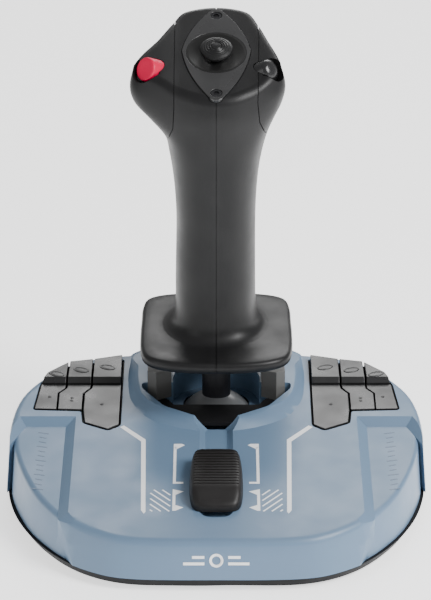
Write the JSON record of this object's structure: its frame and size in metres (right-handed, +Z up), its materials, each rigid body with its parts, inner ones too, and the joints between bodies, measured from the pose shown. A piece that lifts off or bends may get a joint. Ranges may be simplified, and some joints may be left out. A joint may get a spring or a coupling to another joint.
{
  "type": "flight joystick",
  "caption": "Desktop flight joystick: twisting grip with hat, thumb buttons and trigger on a two-axis gimbal, over a sloping base with a throttle slider and press keys.",
  "frame": {"origin": "under the middle of the base, on the surface that the rubber feet stand on", "axes": "+Z up, +X to the user's right, +Y away from the user"},
  "size_m": [0.2031, 0.1884, 0.2241],
  "materials": {
    "base_blue": "satin moulded plastic",
    "base_black": "matt moulded plastic",
    "foot_rubber": "matt rubber",
    "zinc_steel": "zinc plated",
    "spring_steel": "drawn wire",
    "circuit_board": "solder mask",
    "switch_black": "moulded",
    "inner_nylon": "natural nylon",
    "cheek_grey": "matt moulded plastic",
    "dome_grey": "satin moulded plastic",
    "shaft_black": "satin",
    "grip_charcoal": "fine grained moulded plastic",
    "plate_grey": "polished moulded plastic",
    "dish_black": "satin moulded plastic",
    "hat_black": "satin moulded plastic",
    "black_screw": "black oxide",
    "button_red": "satin moulded plastic",
    "button_black": "satin moulded plastic",
    "trigger_black": "satin moulded plastic",
    "slider_black": "satin moulded plastic",
    "key_grey": "satin moulded plastic"
  },
  "bodies": {
    "base": {"top_shell": "base_blue", "bottom_plate": "base_black", "rubber_feet": "foot_rubber", "ballast_plate": "zinc_steel", "base_screws": "zinc_steel", "well_front_cover": "base_black", "well_cheek_left": "cheek_grey", "well_cheek_right": "cheek_grey", "gimbal_bracket": "zinc_steel", "pitch_pins": "zinc_steel", "pitch_spring": "spring_steel", "hall_sensor_board": "circuit_board", "main_board": "circuit_board", "key_board_left": "circuit_board", "key_board_right": "circuit_board", "key_switches": "switch_black", "slider_track": "switch_black", "cable_gland": "foot_rubber"},
    "pitch_ring": {"gimbal_ring": "inner_nylon", "roll_pins": "zinc_steel", "roll_spring": "spring_steel"},
    "stick": {"shaft_hub": "inner_nylon", "gimbal_dome": "dome_grey", "stick_shaft": "shaft_black", "magnet_holder": "inner_nylon", "sensor_magnet": "zinc_steel", "twist_sensor": "switch_black"},
    "grip": {"grip_left_shell": "grip_charcoal", "grip_right_shell": "grip_charcoal", "head_module_left": "grip_charcoal", "head_module_right": "grip_charcoal", "top_plate": "plate_grey", "top_plate_screws": "black_screw", "hat_bezel": "dish_black", "hat_switch_block": "inner_nylon", "head_board": "circuit_board", "trigger_pin": "zinc_steel", "tact_switches": "switch_black", "grip_screws": "zinc_steel", "twist_bushes": "inner_nylon", "twist_spring": "spring_steel"},
    "hat_frame": {"hat_cradle": "inner_nylon"},
    "hat": {"hat_cap": "hat_black"},
    "red_button": {"thumb_button_left": "button_red"},
    "black_button": {"thumb_button_right": "button_black"},
    "trigger_lever": {"trigger": "trigger_black"},
    "slider": {"slider_knob": "slider_black", "slider_carriage": "inner_nylon"},
    "key_left_front_inner_cap": {"key_left_front_inner": "key_grey"},
    "key_left_front_middle_cap": {"key_left_front_middle": "key_grey"},
    "key_left_front_outer_cap": {"key_left_front_outer": "key_grey"},
    "key_left_rear_inner_cap": {"key_left_rear_inner": "key_grey"},
    "key_left_rear_middle_cap": {"key_left_rear_middle": "key_grey"},
    "key_left_rear_outer_cap": {"key_left_rear_outer": "key_grey"},
    "key_right_front_inner_cap": {"key_right_front_inner": "key_grey"},
    "key_right_front_middle_cap": {"key_right_front_middle": "key_grey"},
    "key_right_front_outer_cap": {"key_right_front_outer": "key_grey"},
    "key_right_rear_inner_cap": {"key_right_rear_inner": "key_grey"},
    "key_right_rear_middle_cap": {"key_right_rear_middle": "key_grey"},
    "key_right_rear_outer_cap": {"key_right_rear_outer": "key_grey"}
  },
  "joints": [
    {"name": "stick_pitch", "type": "hinge", "parent": "base", "child": "pitch_ring", "pos_m": [0, 0.052, 0.017], "axis": [1, 0, 0], "range_deg": [-15, 15], "stiffness_Nm_per_rad": 2.5},
    {"name": "stick_roll", "type": "hinge", "parent": "pitch_ring", "child": "stick", "pos_m": [0, 0.052, 0.017], "axis": [0, 1, 0], "range_deg": [-15, 15], "stiffness_Nm_per_rad": 2.5},
    {"name": "stick_twist", "type": "hinge", "parent": "stick", "child": "grip", "pos_m": [0, 0.052, 0.07], "axis": [0, 0, 1], "range_deg": [-15, 15], "stiffness_Nm_per_rad": 0.4},
    {"name": "hat_side_tilt", "type": "hinge", "parent": "hat_frame", "child": "hat", "pos_m": [0, 0.05923, 0.20277], "axis": [0, 0.9063, 0.4226], "range_deg": [-8, 8], "stiffness_Nm_per_rad": 0.05},
    {"name": "hat_fore_tilt", "type": "hinge", "parent": "grip", "child": "hat_frame", "pos_m": [0, 0.05923, 0.20277], "axis": [1, 0, 0], "range_deg": [-8, 8], "stiffness_Nm_per_rad": 0.05},
    {"name": "red_button_press", "type": "slide", "parent": "grip", "child": "red_button", "axis": [0.6617, 0.6516, -0.3709], "range_m": [0, 0.002], "stiffness_N_per_m": 300},
    {"name": "black_button_press", "type": "slide", "parent": "grip", "child": "black_button", "axis": [-0.751, 0.5007, -0.4306], "range_m": [0, 0.0015], "stiffness_N_per_m": 300},
    {"name": "trigger_pull", "type": "hinge", "parent": "grip", "child": "trigger_lever", "pos_m": [0, 0.0765, 0.1865], "axis": [-1, 0, 0], "range_deg": [0, 8], "stiffness_Nm_per_rad": 0.5},
    {"name": "slider_slide", "type": "slide", "parent": "base", "child": "slider", "axis": [0, 0.9945, 0.1044], "range_m": [-0.009, 0.024]},
    {"name": "key_left_front_inner_press", "type": "slide", "parent": "base", "child": "key_left_front_inner_cap", "axis": [0, 0.1044, -0.9945], "range_m": [0, 0.0013], "stiffness_N_per_m": 300},
    {"name": "key_left_front_middle_press", "type": "slide", "parent": "base", "child": "key_left_front_middle_cap", "axis": [0, 0.1044, -0.9945], "range_m": [0, 0.0013], "stiffness_N_per_m": 300},
    {"name": "key_left_front_outer_press", "type": "slide", "parent": "base", "child": "key_left_front_outer_cap", "axis": [0, 0.1044, -0.9945], "range_m": [0, 0.0013], "stiffness_N_per_m": 300},
    {"name": "key_left_rear_inner_press", "type": "slide", "parent": "base", "child": "key_left_rear_inner_cap", "axis": [0, 0.1044, -0.9945], "range_m": [0, 0.0013], "stiffness_N_per_m": 300},
    {"name": "key_left_rear_middle_press", "type": "slide", "parent": "base", "child": "key_left_rear_middle_cap", "axis": [0, 0.1044, -0.9945], "range_m": [0, 0.0013], "stiffness_N_per_m": 300},
    {"name": "key_left_rear_outer_press", "type": "slide", "parent": "base", "child": "key_left_rear_outer_cap", "axis": [0, 0.1044, -0.9945], "range_m": [0, 0.0013], "stiffness_N_per_m": 300},
    {"name": "key_right_front_inner_press", "type": "slide", "parent": "base", "child": "key_right_front_inner_cap", "axis": [0, 0.1044, -0.9945], "range_m": [0, 0.0013], "stiffness_N_per_m": 300},
    {"name": "key_right_front_middle_press", "type": "slide", "parent": "base", "child": "key_right_front_middle_cap", "axis": [0, 0.1044, -0.9945], "range_m": [0, 0.0013], "stiffness_N_per_m": 300},
    {"name": "key_right_front_outer_press", "type": "slide", "parent": "base", "child": "key_right_front_outer_cap", "axis": [0, 0.1044, -0.9945], "range_m": [0, 0.0013], "stiffness_N_per_m": 300},
    {"name": "key_right_rear_inner_press", "type": "slide", "parent": "base", "child": "key_right_rear_inner_cap", "axis": [0, 0.1044, -0.9945], "range_m": [0, 0.0013], "stiffness_N_per_m": 300},
    {"name": "key_right_rear_middle_press", "type": "slide", "parent": "base", "child": "key_right_rear_middle_cap", "axis": [0, 0.1044, -0.9945], "range_m": [0, 0.0013], "stiffness_N_per_m": 300},
    {"name": "key_right_rear_outer_press", "type": "slide", "parent": "base", "child": "key_right_rear_outer_cap", "axis": [0, 0.1044, -0.9945], "range_m": [0, 0.0013], "stiffness_N_per_m": 300}
  ]
}
